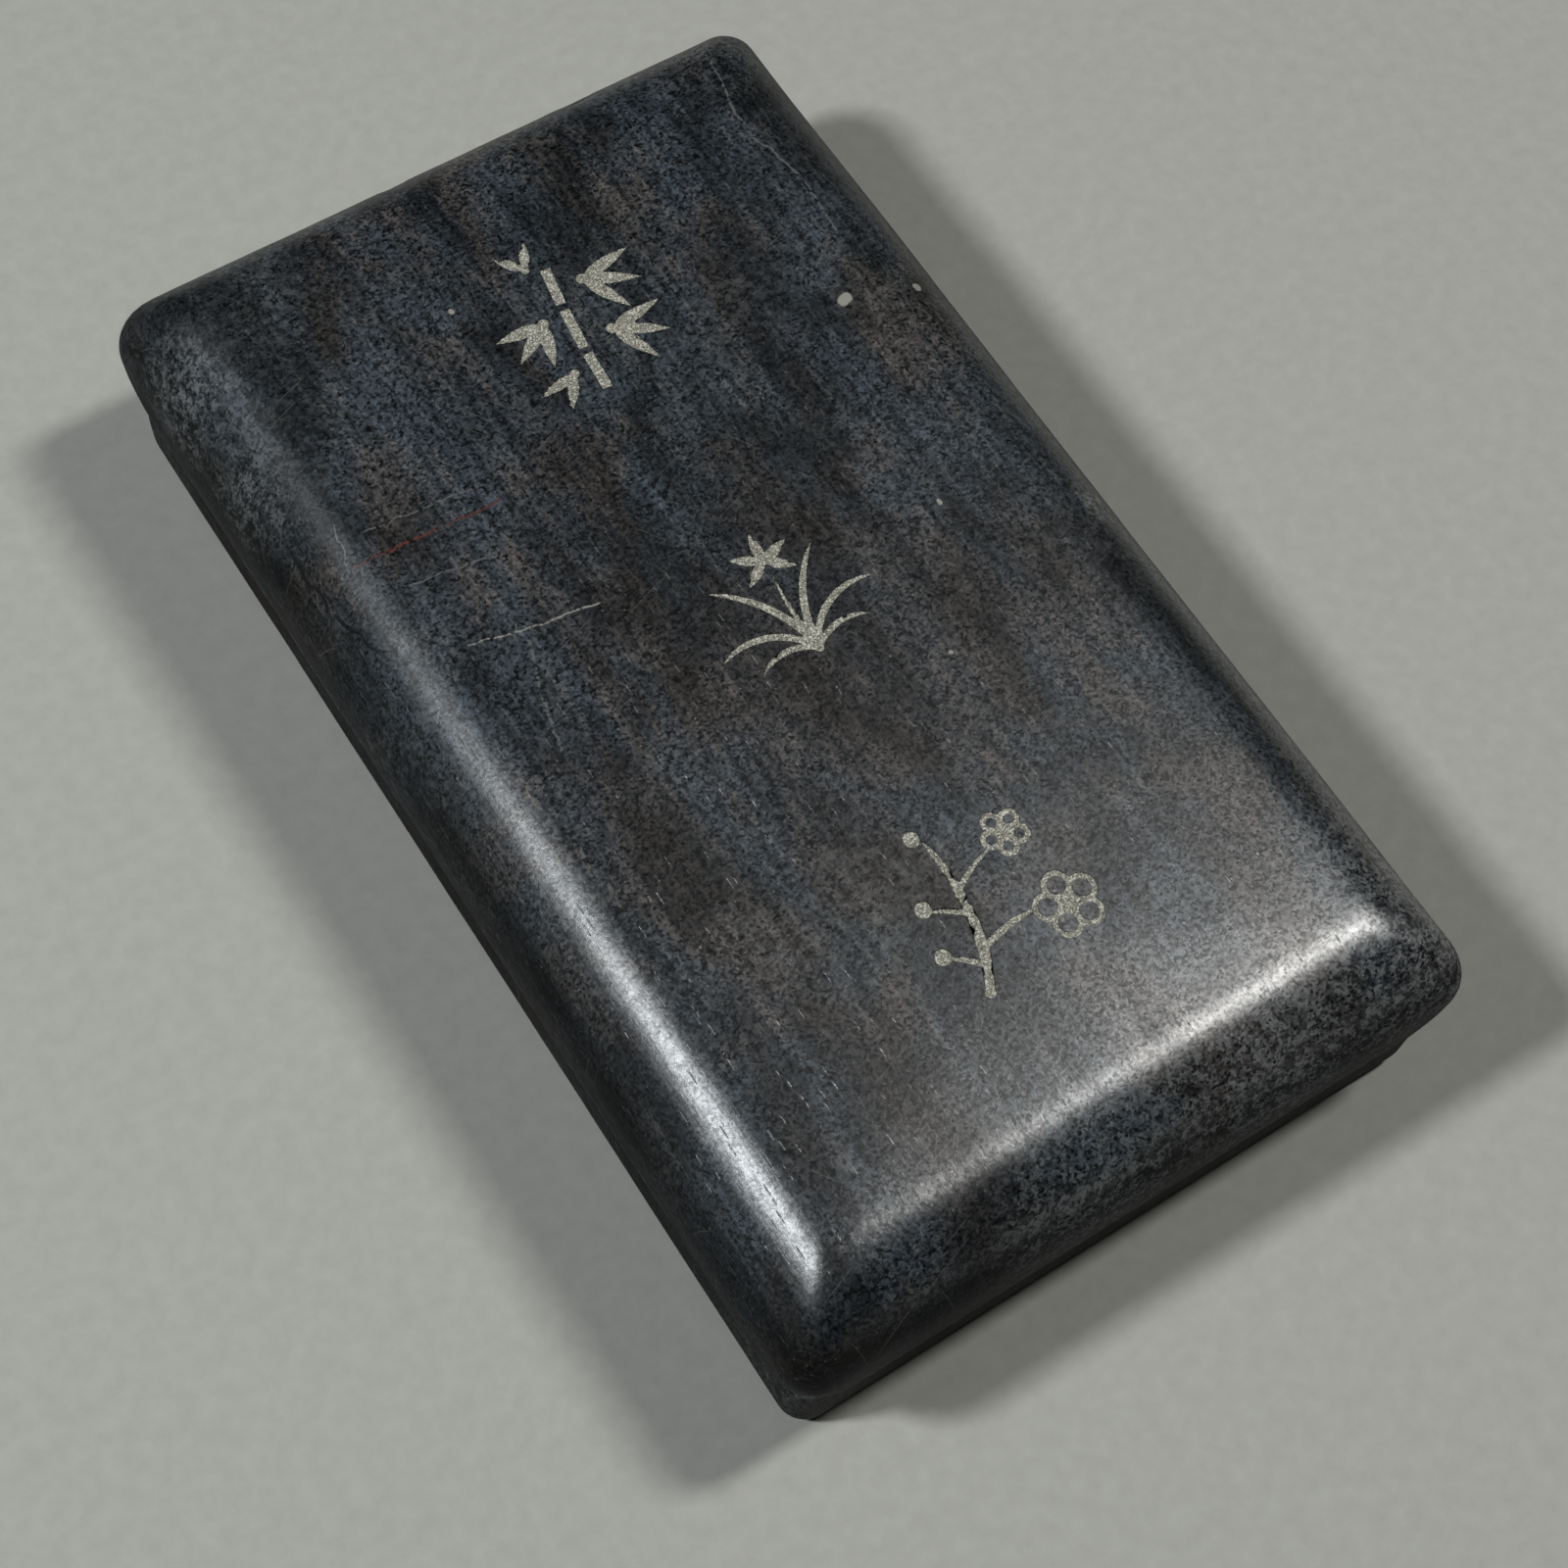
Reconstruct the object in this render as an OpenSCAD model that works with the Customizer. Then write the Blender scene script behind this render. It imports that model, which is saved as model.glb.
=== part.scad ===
// A lidded hardwood case for a small inkstone and its ink stick.
// The case lies flat. X runs across the case, Y along it, and Z is up.
// The origin is the middle of the underside. All sizes are in millimetres.

/* [Case] */
// Length of the closed case, along the grain
case_length = 130; // [122:1:150]
// Width of the closed case, across the grain
case_width = 76; // [74:1:90]
// Height of the lid's rim above the surface that the case stands on
rim_height = 10.5; // [9:0.5:10.5]
// Height of the closed case at the middle of its crowned top
case_height = 28; // [27:0.5:34]
// Radius of the case's upright corners
corner_radius = 3.6; // [3.6:0.4:4]

/* [Lid] */
// How far in from the wall the rounded shoulder reaches
shoulder_reach = 9.5; // [8:0.5:14]
// How far the shoulder falls from the edge of the crown
shoulder_fall = 9.8; // [8:0.2:10.4]
// Rise of the crown between the shoulders and the level middle
crown_rise = 1; // [0.2:0.1:1.2]
// Width of the slope that rises from the shoulder to the level middle
crown_slope = 7; // [4:0.5:8]
// Thickness of the lid's wall at the rim
lid_wall = 2.8; // [2.4:0.1:3.2]
// Height of the lid's inner ceiling
ceiling_height = 21.7; // [20.5:0.1:22]
// Depth of the carved motifs
carving_depth = 0.6; // [0.4:0.1:1]

/* [Base] */
// How far the lid's rim stands out past the base
rim_overhang = 0.8; // [0.4:0.1:1]
// Radius of the base's bottom edge
foot_radius = 2.2; // [1.5:0.1:3]
// Thickness of the base's floor
floor_thickness = 3.5; // [3:0.1:4]
// Depth of the shallow recess in the underside
underside_recess = 0.8; // [0.4:0.1:1]
// Height of the locating lip above the lid's rim
lip_height = 4; // [3:0.5:5]
// Thickness of the locating lip
lip_wall = 2.4; // [2:0.1:2.6]
// Gap all round between the lip and the lid
lid_clearance = 0.3; // [0.2:0.05:0.5]

/* [Inkstone] */
// Thickness of the stone
stone_thickness = 12; // [11:0.5:12.5]
// Gap all round between the stone and the base
stone_clearance = 0.4; // [0.3:0.1:0.8]
// Depth of the ink well at the far end of the stone
well_depth = 7.5; // [6:0.5:8]
// Depth of the grinding field at its near end
field_depth = 1.6; // [1:0.2:2.4]
// Fall of the grinding field towards the well, in degrees
field_fall = 1.2; // [0.4:0.2:1.6]

/* [Ink stick] */
// Length of the ink stick
stick_length = 78; // [60:1:80]
// Width of the ink stick
stick_width = 11; // [9:0.5:11]
// Height of the ink stick
stick_height = 8.5; // [8:0.25:9]
// Gap all round between the ink stick and its channel
stick_clearance = 0.5; // [0.4:0.1:0.8]

/* [Hidden] */
$fn = 48;

wood_colour = [0.10, 0.09, 0.09];
pigment_colour = [0.72, 0.70, 0.64];
stone_colour = [0.19, 0.20, 0.23];
ink_colour = [0.06, 0.06, 0.06];
gilt_colour = [0.70, 0.54, 0.24];

eps = 0.01;
over = 1;                       // cuts run past the surface by this much
corner_fn = 32;                 // segments of a corner post inside a hull
rim_inset = 0.5;                // the lid's wall leans in by this much at its rim
arris = 0.4;                    // worn edge of the rim
lean_height = 3;                // the lid's wall leans in over this height above the rim
lip_root = 2;                   // the lip starts this far below the top of the band
recess_corner = 3;
inner_corner = 1.5;             // upright corners of the pocket, the lip, the tray and the stone
foot_width = 3;                 // the underside's recess stops this far inside the tray's walls
shoulder_top = case_height - crown_rise;
shoulder_start = shoulder_top - shoulder_fall;
base_inset = rim_inset + rim_overhang;
pocket_inset = rim_inset + lid_wall;
lip_inset = pocket_inset + lid_clearance;
tray_inset = lip_inset + lip_wall;
tray_width = case_width - 2 * tray_inset;
tray_length = case_length - 2 * tray_inset;

stone_width = tray_width - 2 * stone_clearance;
stone_length = tray_length - 2 * stone_clearance;
stone_top = floor_thickness + stone_thickness;
stone_border = 3.2;
stone_rib = 8;                  // left standing between the grinding field and the channel
field_corner = 4;
channel_depth = 5.5;
channel_width = stick_width + 2 * stick_clearance;
channel_length = stick_length + 2 * stick_clearance;
channel_x = stone_width / 2 - stone_border - channel_width / 2;
channel_floor = stone_top - channel_depth;
field_right = channel_x - channel_width / 2 - stone_rib;
field_left = stone_border - stone_width / 2;
field_width = field_right - field_left;
well_length = 24;
scoop_radius = 8.5;
scoop_shift = 3;                // the finger scoop's middle lies this far inside the channel's edge
well_end = stone_length / 2 - stone_border;
well_start = well_end - well_length;
field_start = stone_border - stone_length / 2;
field_length = well_start - field_start;
stick_top = channel_floor + stick_height;

motif_spacing = 36.3;           // from one carved motif to the next, along the lid
motif_offset = 1.4;             // the row of motifs lies a little right of the middle
stroke = 0.9;                   // usual width of a carved stroke
inlay_drop = 0.12;              // the pigment lies just under the surface

// A block with round upright corners, its underside at z = 0
module rounded_block(w, l, h, r) {
    translate([r - w / 2, -l / 2, 0]) cube([w - 2 * r, l, h]);
    translate([-w / 2, r - l / 2, 0]) cube([w, l - 2 * r, h]);
    for (sx = [-1, 1], sy = [-1, 1])
        translate([sx * (w / 2 - r), sy * (l / 2 - r), 0]) cylinder(r = r, h = h);
}

// A convex body through level sections: each section is [inset from the case's sides, height, corner radius]
module stacked_sections(sections) {
    hull()
        for (s = sections, sx = [-1, 1], sy = [-1, 1])
            translate([sx * (case_width / 2 - s[0] - s[2]), sy * (case_length / 2 - s[0] - s[2]), s[1]])
                cylinder(r = s[2], h = eps, $fn = corner_fn);
}

// The lid's outside: a leaning wall, a rounded shoulder and a low crown
module lid_outside() {
    wall = [
        [rim_inset + arris, rim_height, corner_radius - arris],
        [rim_inset, rim_height + arris, corner_radius],
        [rim_inset * 0.3, rim_height + lean_height, corner_radius],
        [0, shoulder_start - 1.2, corner_radius],
    ];
    shoulder = [
        for (i = [0 : 9])
            let (a = i * 10, inset = shoulder_reach * (1 - cos(a)))
                [inset, shoulder_start + shoulder_fall * sin(a), corner_radius - 0.12 * inset]
    ];
    crown = [
        for (i = [1 : 4])
            let (u = i / 4)
                [shoulder_reach + u * crown_slope, shoulder_top + crown_rise * (2 * u - u * u) - eps, inner_corner]
    ];
    stacked_sections(concat(wall, shoulder, crown));
}

// A straight stroke between two points, with square ends
module straight_stroke(from, to, w = stroke) {
    d = to - from;
    translate(from) rotate(atan2(d[1], d[0])) translate([0, -w / 2]) square([norm(d), w]);
}

// One edge of a blade: it swells quickly from the base and runs out to a long tip
function blade_edge(length, width, side, steps = 6) =
    [for (i = [0 : steps]) let (u = i / steps) [length * u, side * width / 2 * sin(180 * pow(u, 0.75))]];

// A pointed leaf or petal, from its base along +X
module blade(length, width) {
    upper = blade_edge(length, width, 1);
    lower = blade_edge(length, width, -1);
    polygon(concat(upper, [for (i = [len(lower) - 2 : -1 : 1]) lower[i]]));
}

// A fan of narrow leaves around one small joint
module leaf_fan(at, angles, length, width) {
    translate(at) {
        circle(r = width * 0.42, $fn = 24);
        for (a = angles) rotate(a) blade(length, width);
    }
}

// A bamboo stem with bare joints and fans of narrow leaves
module bamboo_motif() {
    joints = [[-2.4, -8.4], [-2.0, -3.2], [-1.3, 2.4], [-0.4, 7.6]];
    gap = 0.35;
    for (i = [0 : 2]) {
        a = joints[i];
        b = joints[i + 1];
        lift = gap * (b - a) / norm(b - a);
        straight_stroke(a + lift, b - lift, 1.15);
    }
    leaf_fan([2.1, 4.4], [-64, -27, 10], 6.2, 1.5);
    leaf_fan([1.6, -2.2], [-66, -30, 6], 6.0, 1.5);
    leaf_fan([-4.0, 1.6], [176, 214, 252], 5.4, 1.5);
    leaf_fan([-4.4, -5.0], [190, 236], 4.4, 1.3);
    leaf_fan([-2.2, 8.2], [128, 62], 3.6, 1.2);
}

// Both edges of a curved stroke that leaves the origin along +Y, bends to the right and runs out to a tip
function bent_edge(r, sweep, width, side, steps = 12) =
    [for (i = [0 : steps])
        let (u = i / steps, a = 180 - sweep * u, d = r + side * width / 2 * pow(1 - u, 0.7) * (0.6 + u))
            [r + d * cos(a), d * sin(a)]];

// A curved stroke with a round start; a negative bend mirrors it to the left
module bent_stroke(at, turn, r, sweep, width, bend = 1) {
    outer = bent_edge(r, sweep, width, 1);
    inner = bent_edge(r, sweep, width, -1);
    translate(at) rotate(turn) scale([bend, 1]) {
        polygon(concat(outer, [for (i = [len(inner) - 2 : -1 : 0]) inner[i]]));
        circle(r = width * 0.36, $fn = 24);
    }
}

// An orchid: a tuft of arching leaves and one open flower on its stalk
module orchid_motif() {
    root = [-0.4, -6.8];
    // turn, radius, sweep, width and bend of each leaf
    leaves = [[-6, 15, 46, 1.3, 1], [-22, 7.2, 86, 1.2, 1], [-46, 5.2, 76, 1.0, 1],
              [4, 13.4, 54, 1.3, -1], [25, 6.6, 92, 1.2, -1], [48, 4.8, 82, 1.0, -1]];
    for (leaf = leaves) bent_stroke(root, leaf[0], leaf[1], leaf[2], leaf[3], leaf[4]);
    bent_stroke(root, 5, 34, 16, stroke);
    translate([0.1, 3.9]) {
        circle(r = 0.5, $fn = 24);
        for (a = [18, 84, 150, 214, 322]) rotate(a) blade(3.4, 1.25);
    }
}

// A five-petalled blossom drawn as rings around a dot
module blossom(size) {
    for (i = [0 : 4])
        rotate(90 + 72 * i) translate([size * 0.56, 0])
            difference() {
                circle(r = size * 0.42, $fn = 32);
                circle(r = size * 0.42 - 0.62, $fn = 32);
            }
    circle(r = size * 0.17, $fn = 24);
}

// A plum branch with two blossoms and three buds
module blossom_motif() {
    bent_stroke([-6.4, -7.8], -30, 24, 40, 1.6, -1);
    bent_stroke([-4.2, -3.9], -72, 15, 24, 1.1);
    bent_stroke([-3.6, 1.6], -52, 12, 28, stroke);
    bent_stroke([-3.7, -0.6], 42, 8, 30, stroke, -1);
    bent_stroke([-5.2, -5.6], 36, 9, 24, stroke, -1);
    translate([4.7, -4.3]) blossom(3.6);
    translate([3.6, 4.6]) rotate(20) blossom(2.6);
    for (bud = [[-4.2, 8.4], [-7.2, 2.0], [-8.2, -2.8]]) translate(bud) circle(r = 0.85, $fn = 24);
}

// One motif of the row on the lid, as a solid between two depths below the level top
module carved_motif(row, top_drop, bottom_drop) {
    translate([motif_offset, row * motif_spacing, case_height - bottom_drop])
        linear_extrude(bottom_drop - top_drop) children();
}

module lid() {
    color(wood_colour)
        difference() {
            lid_outside();
            translate([0, 0, rim_height - over])
                rounded_block(case_width - 2 * pocket_inset, case_length - 2 * pocket_inset,
                              ceiling_height - rim_height + over, inner_corner);
            carved_motif(1, -over, carving_depth) bamboo_motif();
            carved_motif(0, -over, carving_depth) orchid_motif();
            carved_motif(-1, -over, carving_depth) blossom_motif();
        }
}

module bamboo_inlay() {
    color(pigment_colour) carved_motif(1, inlay_drop, carving_depth) bamboo_motif();
}

module orchid_inlay() {
    color(pigment_colour) carved_motif(0, inlay_drop, carving_depth) orchid_motif();
}

module blossom_inlay() {
    color(pigment_colour) carved_motif(-1, inlay_drop, carving_depth) blossom_motif();
}

module base() {
    band = concat(
        [for (a = [0 : 18 : 90])
            [base_inset + foot_radius * (1 - sin(a)), foot_radius * (1 - cos(a)),
             corner_radius - 0.5 - 0.5 * foot_radius * (1 - sin(a))]],
        [[base_inset, rim_height - arris - eps, corner_radius - 0.5],
         [base_inset + arris, rim_height - eps, corner_radius - 0.5 - arris]]
    );
    color(wood_colour)
        difference() {
            union() {
                stacked_sections(band);
                translate([0, 0, rim_height - lip_root])
                    rounded_block(case_width - 2 * lip_inset, case_length - 2 * lip_inset,
                                  lip_height + lip_root, inner_corner);
            }
            translate([0, 0, floor_thickness])
                rounded_block(tray_width, tray_length, case_height, inner_corner);
            translate([0, 0, -over])
                rounded_block(tray_width - 2 * foot_width, tray_length - 2 * foot_width,
                              underside_recess + over, recess_corner);
        }
}

module inkstone() {
    color(stone_colour)
        difference() {
            translate([0, 0, floor_thickness])
                rounded_block(stone_width, stone_length, stone_thickness, inner_corner);
            // the ink well
            translate([(field_left + field_right) / 2, (well_start + well_end) / 2, stone_top - well_depth])
                rounded_block(field_width, well_length, well_depth + over, field_corner);
            // the grinding field, which falls towards the well
            translate([(field_left + field_right) / 2, field_start, stone_top - field_depth])
                rotate([-field_fall, 0, 0])
                    translate([0, field_length / 2 + over, 0])
                        rounded_block(field_width, field_length + 3 * over, well_depth, field_corner);
            // the channel for the ink stick, with a finger scoop
            translate([channel_x, 0, channel_floor])
                rounded_block(channel_width, channel_length, channel_depth + over, inner_corner);
            translate([channel_x - channel_width / 2 + scoop_shift, 0, channel_floor])
                cylinder(r = scoop_radius, h = channel_depth + over);
        }
}

module ink_stick() {
    edge = 1;
    color(ink_colour)
        translate([channel_x, stick_length / 2, channel_floor])
            rotate([90, 0, 0])
                linear_extrude(stick_length)
                    union() {
                        translate([edge - stick_width / 2, 0])
                            square([stick_width - 2 * edge, stick_height]);
                        translate([-stick_width / 2, edge])
                            square([stick_width, stick_height - 2 * edge]);
                        for (sx = [-1, 1], y = [edge, stick_height - edge])
                            translate([sx * (stick_width / 2 - edge), y]) circle(r = edge);
                    }
}

// The gilded relief on top of the stick: a border and a row of rosettes
module stick_gilding() {
    relief = 0.25;
    line = 0.7;
    frame_width = stick_width - 2.6;
    frame_length = stick_length - 5;
    frame_corner = 1.6;
    rosette_spacing = 13;
    color(gilt_colour)
        translate([channel_x, 0, stick_top]) {
            difference() {
                rounded_block(frame_width, frame_length, relief, frame_corner);
                translate([0, 0, -over])
                    rounded_block(frame_width - 2 * line, frame_length - 2 * line, relief + 2 * over, 1);
            }
            for (i = [-2 : 2])
                translate([0, i * rosette_spacing, 0]) {
                    cylinder(r = 0.8, h = relief);
                    for (a = [45 : 90 : 315])
                        rotate(a) translate([1.75, 0, 0]) cylinder(r = 0.6, h = relief);
                }
        }
}

lid();
base();
bamboo_inlay();
orchid_inlay();
blossom_inlay();
inkstone();
ink_stick();
stick_gilding();
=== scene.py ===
"""Looks of a lidded hardwood inkstone case: lid, base, carved and filled motifs, inkstone and ink stick.

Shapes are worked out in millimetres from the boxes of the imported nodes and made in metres.
"""
import math
from types import SimpleNamespace

import bmesh
import bpy
import numpy as np
from mathutils import Matrix, Vector, interpolate, noise
from mathutils.bvhtree import BVHTree


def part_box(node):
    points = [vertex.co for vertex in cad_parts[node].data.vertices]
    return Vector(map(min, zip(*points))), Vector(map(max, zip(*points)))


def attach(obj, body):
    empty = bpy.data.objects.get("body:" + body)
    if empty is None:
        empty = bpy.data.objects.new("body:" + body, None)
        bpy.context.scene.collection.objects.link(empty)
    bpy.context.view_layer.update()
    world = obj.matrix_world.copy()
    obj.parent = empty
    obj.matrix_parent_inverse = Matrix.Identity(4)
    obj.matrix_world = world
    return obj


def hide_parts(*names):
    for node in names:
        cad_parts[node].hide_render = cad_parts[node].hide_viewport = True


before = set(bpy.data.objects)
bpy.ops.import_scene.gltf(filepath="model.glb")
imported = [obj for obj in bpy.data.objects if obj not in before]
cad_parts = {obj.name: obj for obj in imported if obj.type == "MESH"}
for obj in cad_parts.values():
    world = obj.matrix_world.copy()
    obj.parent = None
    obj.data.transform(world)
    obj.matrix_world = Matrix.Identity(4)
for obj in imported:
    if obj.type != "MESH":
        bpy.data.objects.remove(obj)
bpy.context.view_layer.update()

MM = 0.001
MOTIFS = ("bamboo_inlay", "orchid_inlay", "blossom_inlay")

# ---------------------------------------------------------------- sizes, in millimetres


def node_box(node):
    """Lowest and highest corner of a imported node, in millimetres."""
    low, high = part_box(node)
    return np.array(low) / MM, np.array(high) / MM


LID_LOW, LID_HIGH = node_box("lid")
BASE_LOW, BASE_HIGH = node_box("base")
STONE_LOW, STONE_HIGH = node_box("inkstone")
STICK_LOW, STICK_HIGH = node_box("ink_stick")
CASE_W, CASE_L = (LID_HIGH - LID_LOW)[:2]
TOP = LID_HIGH[2]
RIM = LID_LOW[2]
LIP_TOP = BASE_HIGH[2]
BASE_INSET = (CASE_W - (BASE_HIGH - BASE_LOW)[0]) / 2
TRAY_FLOOR = STONE_LOW[2]

CORNER = 3.3            # radius of the upright corners
RIM_CORNER = 5.8        # the lid's corners are rounder at its rim
RIM_INSET = 0.5         # the lid's wall leans in by this much at the rim
ARRIS = 0.35            # worn edge of the rim and of the base's shoulder
SHOULDER_REACH = 9.5    # the shoulder's width, seen from above
SHOULDER_FALL = 9.7     # its height
CROWN_RISE = 1.1        # rise of the crown from the walls to the middle
CROWN_SPREAD = 0.9      # growth of the crown's corner radius for each millimetre towards the middle
LID_WALL = 2.8
CEILING = 21.7
LIP_GAP = 0.3
LIP_WALL = 2.4
FOOT = 2.2              # radius of the base's bottom edge
RECESS = 0.8            # depth of the recess in the underside
DENT_SCALE = 0.9        # size of the unevenness inside a dent
CARVING = 0.55          # depth of the carved strokes
ON_SURFACE = 0.03       # points this close to the uncut top belong to it
FILL_DROP = 0.09        # the pigment lies this far under the surface
SPACING = 0.8           # distance between points on the outside of the case
WELD = 0.004            # points closer than this are one point
FLAT_TOP = 0.05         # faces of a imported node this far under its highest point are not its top

STONE_BORDER = 3.2      # rim left round the stone's hollows
STONE_RIB = 8.0         # stone between the grinding field and the stick's channel
WELL_LENGTH = 24.0
WELL_DEPTH = 7.4
FIELD_DEPTH = 1.6       # depth of the grinding field at its near end
FIELD_FALL = 1.2        # its fall towards the well, in degrees
CHANNEL_GAP = 0.5       # gap round the ink stick
SCOOP_RADIUS = 8.3
STONE_CORNER = 1.5
STONE_EDGE = 0.7        # radius of the stone's upper edge
STONE_STEP = 0.42       # distance between points on the stone's top
INKED_UP_TO = 12.0      # no ink dries further right than this, where the stick lies
GROUND_FROM = 35.5      # the stick's near end is ground at a slant from here
GILT_RISE = 0.2         # height of the gilded relief on the stick

# ---------------------------------------------------------------- marks of use, in millimetres

# Dents as (centre, radius, depth)
LID_DENTS = [((34.0, -6.1, 25.3), 2.4, 0.16), ((16.3, 63.2, 24.0), 2.6, 0.35),
             ((-5.5, 63.8, 23.5), 2.0, 0.2), ((22.0, -64.0, 20.5), 2.4, 0.15),
             ((-36.5, 30.0, 22.0), 2.2, 0.12)]
# Rubbed places as (centre, radius, weight)
LID_WEAR = [((34, -61, 20), 21, 1.0), ((15, -64, 17), 19, 1.0), ((-5, -64, 17), 15, 0.9),
            ((-37, 51, 23), 8, 0.9), ((-36.5, 38, 23), 7, 0.7), ((34.0, -6.1, 25.3), 3.0, 1.0),
            ((30, 58, 25), 7, 0.4), ((36, 20, 21), 14, 0.35)]
BASE_WEAR = [((-36, -63, 7), 14, 0.5), ((36, -63, 7), 12, 0.5), ((-36, 62, 7), 12, 0.4)]
RIM_HIGHLIGHT_LEVEL = 1.8          # value along the worn rim edge, where a pale highlight line is painted; above 1, so that the material can tell that edge from the rubbed places
PALE, GREY, RED, DARK = (0.26, 0.25, 0.23), (0.12, 0.12, 0.122), (0.12, 0.034, 0.022), (0.003, 0.003, 0.004)
# Scratches and cracks as (shade, half width, points seen from above)
LID_MARKS = [
    (RED, 0.17, [(-31.5, 24.6), (-22.0, 23.6), (-15.5, 23.4)]),
    (GREY, 0.13, [(-29.0, 20.2), (-19.0, 18.3)]),
    (PALE, 0.14, [(-26.8, 11.4), (-12.4, 8.3)]),
    (GREY, 0.20, [(-21.3, 9.0), (-23.2, 4.0), (-24.6, -3.2)]),
    (GREY, 0.17, [(30.6, 59.5), (28.6, 49.5), (30.4, 41.0), (29.6, 33.0)]),
    (DARK, 0.22, [(-35.0, 31.4), (-34.8, 22.8), (-33.4, 15.6)]),
    (GREY, 0.11, [(-30.5, 30.0), (-31.8, 24.5)]),
    (GREY, 0.12, [(-29.5, 27.2), (-16.0, 25.6)]),
]
# Chips that show pale, as (middle seen from above, radius)
LID_CHIPS = [((25.8, 26.1), 0.75), ((33.8, 24.4), 0.6), ((-9.0, 44.5), 0.3), ((12.0, -13.0), 0.3),
             ((20.5, 1.5), 0.35)]
# Fields of fine scratches as (length of a cell, share of cells, seed, turn in degrees)
HAIRLINES = [(13.0, 0.07, 4.0, -72.0), (8.0, 0.06, 9.0, 34.0)]


# ---------------------------------------------------------------- meshes

def piece_from(name, verts, faces, smooth=True):
    """An object made from points in metres and faces."""
    mesh = bpy.data.meshes.new(name)
    mesh.from_pydata([tuple(v) for v in verts], [], faces)
    mesh.polygons.foreach_set("use_smooth", [smooth] * len(mesh.polygons))
    mesh.update()
    made = bpy.data.objects.new(name, mesh)
    bpy.context.scene.collection.objects.link(made)
    return made


def grid_faces(nx, ny):
    """Quads of a grid of points, row by row."""
    row = nx + 1
    return [(j * row + i, j * row + i + 1, (j + 1) * row + i + 1, (j + 1) * row + i)
            for j in range(ny) for i in range(nx)]


def tidy_mesh(obj):
    """Welds points that meet, drops faces without area and turns the normals outwards."""
    bm = bmesh.new()
    bm.from_mesh(obj.data)
    bmesh.ops.remove_doubles(bm, verts=bm.verts, dist=WELD * MM)
    bmesh.ops.dissolve_degenerate(bm, edges=bm.edges, dist=WELD * MM)
    bmesh.ops.recalc_face_normals(bm, faces=bm.faces)
    bm.to_mesh(obj.data)
    bm.free()
    obj.data.update()


def ring_shape(width, length, corner_steps=8):
    """Points round a rounded rectangle, as (corner's sign in x, in y, turn in degrees).

    The points of a corner's arc share its signs, and the points of a side run from one sign to the next.
    """
    across = max(4, round(width / SPACING))
    along = max(4, round(length / SPACING))
    signs = [(1, 1), (-1, 1), (-1, -1), (1, -1)]
    points = []
    for i, (sx, sy) in enumerate(signs):
        for k in range(corner_steps + 1):
            points.append((sx, sy, 90 * (i + k / corner_steps)))
        steps = across if i % 2 == 0 else along
        nx, ny = signs[(i + 1) % 4]
        for k in range(1, steps):
            u = k / steps
            points.append((sx + (nx - sx) * u, sy + (ny - sy) * u, 90 * (i + 1)))
    return np.array(points)


def loft(name, stations, width=CASE_W, length=CASE_L):
    """A closed body through level rings. Each station is (inset, height, corner radius)."""
    shape = ring_shape(width, length)
    turn = np.radians(shape[:, 2])
    count = len(shape)
    verts = []
    for inset, height, radius in stations:
        half_w, half_l = width / 2 - inset, length / 2 - inset
        radius = min(radius, half_w)
        x = shape[:, 0] * (half_w - radius) + radius * np.cos(turn)
        y = shape[:, 1] * (half_l - radius) + radius * np.sin(turn)
        verts.append(np.stack([x, y, np.full(count, height)], 1))
    faces = []
    for s in range(len(stations) - 1):
        for i in range(count):
            j = (i + 1) % count
            faces.append((s * count + i, s * count + j, (s + 1) * count + j, (s + 1) * count + i))
    made = piece_from(name, np.concatenate(verts) * MM, faces)
    tidy_mesh(made)
    return made


def quarter(inset, height, d_inset, d_height, radius, d_radius=0.0, steps=4, rising=True):
    """Stations round a quarter turn. rising starts along Z and ends level; otherwise the other way round."""
    out = []
    for k in range(steps + 1):
        a = math.pi / 2 * k / steps
        u, v = (1 - math.cos(a), math.sin(a)) if rising else (math.sin(a), 1 - math.cos(a))
        out.append((inset + d_inset * u, height + d_height * v, radius + d_radius * u))
    return out


def level(start, end, height, start_radius, end_radius, steps):
    """Level stations between two insets, without the first."""
    return [
        (start + (end - start) * k / steps, height, start_radius + (end_radius - start_radius) * k / steps)
        for k in range(1, steps + 1)
    ]


def crown_height(inset):
    """Height of the lid's top, that far in from the wall: a round shoulder that runs into a low crown."""
    reach = min(inset / SHOULDER_REACH, 1.0)
    middle = min(inset / (CASE_W / 2), 1.0)
    shoulder = SHOULDER_FALL * math.sqrt(max(0.0, 1 - (1 - reach) ** 2))
    return TOP - SHOULDER_FALL - CROWN_RISE + shoulder + CROWN_RISE * (1 - (1 - middle) ** 2)


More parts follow.
